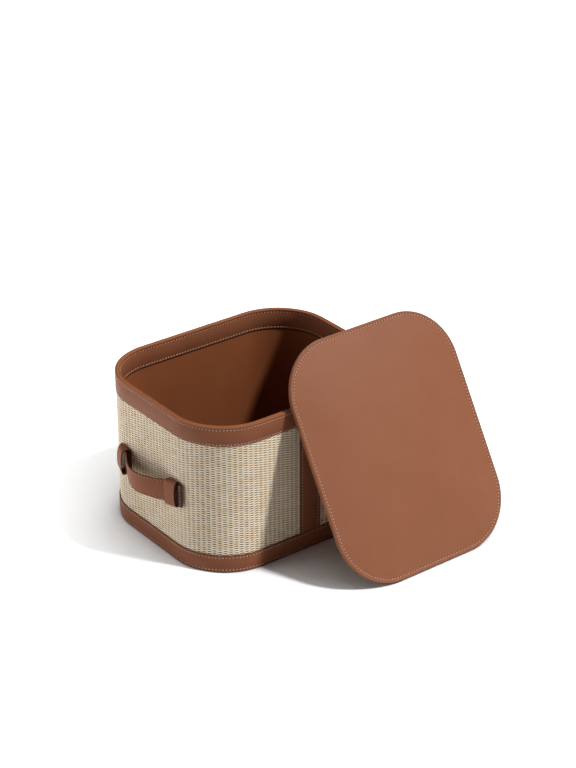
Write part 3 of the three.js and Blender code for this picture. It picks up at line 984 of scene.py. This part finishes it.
def strap_half(fold_start):
    """Stations from the strap's middle to its folded end."""
    line = np.array(strap_bow(STRAP_BOW_STEPS))
    tangent = np.gradient(line, axis=0)
    stations = []
    for (along, out), (step_along, step_out) in zip(line, tangent):
        lean = STRAP_LEAN * (out - STRAP_FLAT_OUT) / (STRAP_BOW - STRAP_FLAT_OUT)
        stations.append(StrapStation(along, out, math.atan2(-step_out, step_along), lean))
    flat = StrapStation(KEEPER_OUTER, STRAP_FLAT_OUT)
    lead = fold_start - KEEPER_OUTER
    # The strap from the keeper's mouth to its fold takes painted shade
    for share in STRAP_MOUTH_SHADE_SHARES:
        stations.append(replace(flat, along=KEEPER_OUTER + lead * share, rubbed=1.0))
    # The folded end takes dark edge paint, partly real and partly painted shade beside the keeper
    for share, inset in fold_nose():
        stations.append(replace(
            flat, along=fold_start + share * FOLD_LENGTH, out=STRAP_FLAT_OUT - FOLD_DROP * share - inset,
            thickness=FOLD_THICKNESS - 2 * inset, half=STRAP_HALF_WIDTH + FOLD_BULGE - inset / 2,
            lift=FOLD_LIFT, painted=FOLD_PAINT_AND_SHADE))
    return stations


def fold_nose(steps=6):
    """Shares of the fold's length, with how far its faces draw in there."""
    nose = FOLD_THICKNESS / 2
    yield FOLD_FIRST_SHARE, 0.0
    for step in range(steps):
        angle = math.pi / 2 * step / steps
        yield 1 - nose * (1 - math.sin(angle)) / FOLD_LENGTH, nose * (1 - math.cos(angle))


def strap_stations():
    """The strap stands pushed to the front, so the front half is the longer one."""
    rear = strap_half(KEEPER_OUTER + SEAT_GAP)
    front = strap_half(KEEPER_OUTER + SEAT_GAP + STRAP_SLIDE)
    mirrored = [replace(station, along=-station.along, slope=-station.slope) for station in front]
    return mirrored[:0:-1] + rear


class StrapFrame:
    """Turns places on a strap's cross-section into places in space."""

    def __init__(self, station, side):
        normal = Vector((side * math.cos(station.slope), math.sin(station.slope), 0))
        upright = Vector((0, 0, 1))
        self.middle = Vector((
            side * (WEAVE_FACE + station.out), station.along, HANDLE_HEIGHT + station.lift))
        self.outwards = normal * math.cos(station.lean) - upright * math.sin(station.lean)
        self.up = upright * math.cos(station.lean) + normal * math.sin(station.lean)

    def place(self, inset, rise):
        return self.middle - self.outwards * inset + self.up * rise


def make_handle(side_name, side):
    stations = strap_stations()
    skin = Skin("edge", "groove", "rubbed")
    for station in stations:
        at = StrapFrame(station, side)
        section = strip_section(
            0, station.thickness, -station.half, station.half, (-STRAP_ROW, STRAP_ROW),
            round_=STRAP_EDGE_ROUND)
        for inset, rise, edge, groove in section:
            place = at.place(inset if station.bare or not groove else 0.0, rise)
            skin.add(place, max(edge * STRAP_EDGE_PAINT, station.painted), groove, station.rubbed)
    body = f"handle_{side_name}"
    strap = skin.close(f"{body}_leather", strap_faces(len(stations), len(section)), LEATHER)
    finish_piece(strap, body, "leather", f"handle_strap_{side_name}")

    sewn = [StrapFrame(station, side) for station in stations if station.bare]
    for rise in (-STRAP_ROW, STRAP_ROW):
        path = [at.place(GROOVE_DEPTH, rise) for at in sewn]
        stitch_rows[body].append((path, [at.outwards for at in sewn], False))
    fold_start = KEEPER_OUTER + SEAT_GAP + STRAP_SLIDE
    fold = StrapFrame(replace(
        stations[0], along=-fold_start - FOLD_STITCH_SHARE * FOLD_LENGTH,
        out=STRAP_FLAT_OUT - FOLD_DROP * FOLD_STITCH_SHARE), side)
    ends = [fold.place(0, rise) for rise in (-STRAP_ROW, STRAP_ROW)]
    stitch_rows[body].append((ends, [fold.outwards] * 2, False))


@dataclass
class Mouth:
    """Opening of a keeper: the room it leaves out from the strap and beside it, and how round it is."""

    room: float
    side_room: float
    round_share: float
    out: float = STRAP_FLAT_OUT

    @property
    def depth(self):
        return self.out + self.room + KEEPER_LEATHER

    @property
    def half_height(self):
        return STRAP_HALF_WIDTH + self.side_room + KEEPER_LEATHER


def strap_out_at(reach):
    """How far the bow of the plain solid stands off the weave, at a distance from the strap's middle."""
    line = np.array(strap_bow(SOLID_BOW_STEPS))
    return float(np.interp(reach, line[:, 0], line[:, 1]))


# The mouth towards the strap's middle, then the one at its end
KEEPER_MOUTHS = {
    "front": (
        Mouth(room=1 * MM, side_room=1.1 * MM, round_share=0.25, out=strap_out_at(KEEPER_INNER)),
        Mouth(room=2.8 * MM, side_room=1.4 * MM, round_share=0.83)),
    "rear": (
        Mouth(
            room=3.4 * MM, side_room=0.9 * MM, round_share=0.6,
            out=strap_out_at(KEEPER_INNER - STRAP_SLIDE)),
        Mouth(room=5 * MM, side_room=1.4 * MM, round_share=0.83)),
}


def keeper_ring(share, mouths, inset, steps=26):
    """Section of a keeper: two half ovals, the back flat on the wall and the front bowed out."""
    inner, outer = mouths

    def mix(first, second):
        return first + (second - first) * share

    waist = mix(inner.depth * KEEPER_WAIST_SHARE, STRAP_FLAT_OUT - STRAP_THICKNESS / 2)
    half = mix(inner.half_height, outer.half_height) - inset
    front = (mix(inner.depth, outer.depth) - waist - inset, mix(inner.round_share, outer.round_share), 1)
    back = (waist - SEAT_GAP - inset, KEEPER_BACK_ROUND_SHARE, -1)
    ring = []
    for bow, round_share, turn in (front, back):
        for step in range(steps):
            angle = math.pi * (0.5 - step / steps)
            up = math.copysign(abs(math.sin(angle)) ** round_share, angle)
            ring.append((waist + turn * bow * abs(math.cos(angle)) ** round_share, turn * half * up))
    return ring


def make_keeper(side_name, side, end_name, end):
    mouths = KEEPER_MOUTHS[end_name]
    round_ = KEEPER_EDGE_ROUND
    bend = round_ * (1 - math.sqrt(0.5))
    length = KEEPER_OUTER - KEEPER_INNER
    rings = 8
    stations = [(0.0, round_), (bend, bend), (round_, 0.0)]
    stations += [(length * step / rings, 0.0) for step in range(1, rings)]
    stations += [(length - round_, 0.0), (length - bend, bend), (length, round_)]
    inside = [(along, KEEPER_LEATHER - inset) for along, inset in stations[::-1]]
    skin = Skin("edge")
    loop = stations + inside
    for along, inset in loop:
        cut = 1.0 if min(along, length - along) < round_ else 0.0
        for out, up in keeper_ring(along / length, mouths, inset):
            skin.add((side * (WEAVE_FACE + out), end * (KEEPER_INNER + along), HANDLE_HEIGHT + up), cut)
    faces = grid_faces(len(loop), len(keeper_ring(0, mouths, 0)), True)
    node = f"keeper_{side_name}_{end_name}"
    keeper = skin.close(f"{node}_leather", faces, LEATHER)
    finish_piece(keeper, "box", "leather", node)


# Lid


def lid_place():
    """Puts the flat lid, with its underside at zero, where it leans."""
    contact_drop = EDGE_ROUND * (math.cos(LID_LEAN) + math.sin(LID_LEAN) - 1)
    foot_drop = LID_EDGE_ROUND * (math.cos(LID_LEAN) + math.sin(LID_LEAN) - 1)
    stand_off = INSERT_DEPTH + SEAT_GAP - contact_drop
    foot_y = -DEPTH / 2 - HEIGHT * math.tan(LID_LEAN) - stand_off / math.cos(LID_LEAN)
    return (
        Matrix.Translation((LID_FOOT_OFFSET, foot_y, -foot_drop))
        @ Matrix.Rotation(LID_YAW, 4, "Z")
        @ Matrix.Rotation(math.pi / 2 - LID_LEAN, 4, "X")
        @ Matrix.Translation((0, LID_LENGTH / 2, 0))
        @ Matrix.Rotation(math.pi / 2, 4, "Z"))


def wrapped_profile(inset, thickness, face, brim, round_, row=None):
    """Profile of a sheet on one face of a board, turned down over its edge, and back inside."""
    into = 1 if brim > face else -1
    profile = []
    if row is not None:
        for across, depth in groove_profile(inset + row, GROOVE_WIDTH)[::-1]:
            profile.append((across, face + into * GROOVE_DEPTH * depth, 0.0, depth))
    turns = [math.pi / 2 * step / ROUND_STEPS for step in range(ROUND_STEPS + 1)]
    for turn in turns:
        profile.append((
            inset + round_ * (1 - math.sin(turn)), face + into * round_ * (1 - math.cos(turn)), 0.0, 0.0))
    for turn in turns:
        profile.append((
            inset + round_ * (1 - math.cos(turn)), brim - into * round_ * (1 - math.sin(turn)),
            1.0 if turn else 0.0, 0.0))
    inner = inset + thickness
    profile += [(inner, brim, 1.0, 0.0), (inner, face + into * thickness, 0.0, 0.0)]
    return profile


def make_lid():
    place = lid_place()
    plan = rounded_plan(LID_LENGTH, LID_WIDTH, LID_CORNER_RADIUS)
    cover = slab("lid_cover_leather", plan, wrapped_profile(
        0, LID_LEATHER, LID_THICKNESS, 0, LID_EDGE_ROUND, LID_STITCH_ROW), LID_LEATHER_FINISH, place)
    finish_piece(cover, "lid", "leather", "lid_cover")

    points = [
        place @ Vector((x, y, LID_THICKNESS - GROOVE_DEPTH)) for x, y in plan_points(plan, LID_STITCH_ROW)]
    facing = place.to_3x3() @ Vector((0, 0, 1))
    stitch_rows["lid"].append((points, [facing] * len(points), True))

    lining = slab(
        "lid_lining_leather", plan, sheet_profile(LID_LEATHER + SEAT_GAP, 0, LID_LINING), LINING, place)
    finish_piece(lining, "lid", "lining", "lid_lining")

    insert = slab("lid_insert_leather", BOX_PLAN, wrapped_profile(
        INSERT_INSET, INSERT_LEATHER, -INSERT_DEPTH, -SEAT_GAP, INSERT_ROUND), LINING, place)
    finish_piece(insert, "lid", "lining", "lid_insert_cover")


def make_stitches():
    tree = stitch_tree()
    sizes = {
        "Pitch": STITCH_PITCH, "Length": STITCH_LENGTH, "Width": STITCH_WIDTH,
        "Height": STITCH_HEIGHT, "Slant": STITCH_SLANT}
    finer = {size: sizes[size] * STRAP_THREAD_SHARE for size in ("Length", "Width", "Height")}
    for body, rows in stitch_rows.items():
        carrier = path_object(f"stitch_lines_{body}", rows)
        own_sizes = {**sizes, **finer} if body.startswith("handle") else sizes
        stitches = apply_tree(carrier, f"stitches_{body}", tree, own_sizes)
        finish_piece(stitches, body, "leather")


def dress_boards():
    """The hidden solids keep their shape and get their own finish."""
    for node, material in (
            ("wall_board", BOARD), ("base_board", BOARD), ("lid_board", BOARD),
            ("lid_insert_board", BOARD), ("sole", FELT)):
        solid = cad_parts[node]
        solid.data.materials.clear()
        solid.data.materials.append(material)


# Camera, light and floor


def make_camera():
    camera = add_object("camera", bpy.data.cameras.new("camera"))
    ahead = Vector((
        -math.sin(PHOTO_AZIMUTH) * math.cos(PHOTO_ELEVATION),
        math.cos(PHOTO_AZIMUTH) * math.cos(PHOTO_ELEVATION),
        -math.sin(PHOTO_ELEVATION)))
    level_right = ahead.cross(Vector((0, 0, 1))).normalized()
    level_up = level_right.cross(ahead)
    right = level_right * math.cos(PHOTO_ROLL) + level_up * math.sin(PHOTO_ROLL)
    up = level_up * math.cos(PHOTO_ROLL) - level_right * math.sin(PHOTO_ROLL)
    turn = Matrix((right, up, -ahead)).transposed().to_4x4()
    camera.matrix_world = Matrix.Translation(PHOTO_CAMERA_PLACE) @ turn
    camera.data.sensor_width = SENSOR_WIDTH
    camera.data.lens = PHOTO_LENS
    camera.data.clip_end = VIEW_DEPTH
    bpy.context.scene.camera = camera


def add_lamp(name, kind, place, towards, strength):
    """A lamp at a place, with the object in the direction opposite to towards."""
    lamp = bpy.data.lights.new(name, kind)
    lamp.energy = strength
    made = add_object(name, lamp)
    turn = Vector(towards).to_track_quat("Z", "Y").to_matrix().to_4x4()
    made.matrix_world = Matrix.Translation(place) @ turn
    made.visible_camera = False
    return lamp


KEY_PLACE = (0, 0, 2)
KEY_TOWARDS = (0.354, -0.477, 0.804)
KEY_STRENGTH = 3.4
KEY_ANGLE = math.radians(6)
CARD_PLACE = (-0.62, 0.30, 0.26)
CARD_TARGET = (-0.15, 0.0, 0.1)
CARD_SIZE = (0.6, 0.5)
CARD_STRENGTH = 1.75
AMBIENT = 0.08
FLOOR_REACH = 12
FLOOR_WHITE = (0.835, 0.86, 0.875, 1)
# Reach and shares of the occlusion over which the floor's glow fades into a painted shadow near the box
FLOOR_SHADE_REACH = 0.5
FLOOR_OPEN_SHARES = (0.43, 1.0)
FLOOR_GLOW = 0.93


def seen_or_reflected(graph):
    """1 for what the camera sees straight, mirrored or through a clear piece."""
    path = graph.node("ShaderNodeLightPath")
    direct = path["Is Camera Ray"].math("MAXIMUM", path["Is Glossy Ray"])
    return direct.math("MAXIMUM", path["Is Transmission Ray"])


def make_light():
    """One soft key from the front right, and a low reflector card at the left."""
    key = add_lamp("key", "SUN", KEY_PLACE, KEY_TOWARDS, KEY_STRENGTH)
    key.angle = KEY_ANGLE
    card = add_lamp("card", "AREA", CARD_PLACE, Vector(CARD_PLACE) - Vector(CARD_TARGET), CARD_STRENGTH)
    card.shape = "RECTANGLE"
    card.size, card.size_y = CARD_SIZE
    world = bpy.data.worlds.new("studio")
    bpy.context.scene.world = world
    world.use_nodes = True
    world.node_tree.nodes.clear()
    graph = Graph(world.node_tree)
    strength = seen_or_reflected(graph) * (1 - AMBIENT) + AMBIENT
    colour = graph.node("ShaderNodeBackground", None, {"Color": (1, 1, 1, 1), "Strength": strength})
    graph.node("ShaderNodeOutputWorld", None, {"Surface": colour["Background"]})


def make_floor():
    corners = [(x * FLOOR_REACH, y * FLOOR_REACH, 0) for x, y in ((-1, -1), (1, -1), (1, 1), (-1, 1))]
    floor = mesh_object("floor", corners, [(0, 1, 2, 3)], floor_material())


def floor_material():
    """White sweep. Camera and reflection rays also see it glow, and the glow fades into a painted shadow
    close to the box.
    """
    material, graph = new_material("studio_floor")
    open_sky = graph.node("ShaderNodeAmbientOcclusion", {"samples": 6}, {
        "Distance": FLOOR_SHADE_REACH})["AO"]
    matt = graph.node("ShaderNodeBsdfDiffuse", None, {"Color": FLOOR_WHITE})["BSDF"]
    # The floor's glow, faded by occlusion into a painted shadow near the box
    glow_with_painted_shadow = smooth_step(graph, open_sky, *FLOOR_OPEN_SHARES) * FLOOR_GLOW
    lift = graph.node("ShaderNodeEmission", None, {
        "Color": (1, 1, 1, 1), "Strength": seen_or_reflected(graph) * glow_with_painted_shadow})["Emission"]
    both = graph.node("ShaderNodeAddShader", None, {0: matt, 1: lift})["Shader"]
    graph.node("ShaderNodeOutputMaterial", None, {"Surface": both})
    return material


make_camera()
make_light()
make_floor()
make_bands()
make_lining()
make_weave()
make_seam_strap("front", -1)
make_seam_strap("rear", 1)
for side_name, side in (("left", -1), ("right", 1)):
    make_handle(side_name, side)
    for end_name, end in (("front", -1), ("rear", 1)):
        make_keeper(side_name, side, end_name, end)
make_lid()
make_stitches()
dress_boards()

bpy.context.scene.view_settings.view_transform = "Standard"
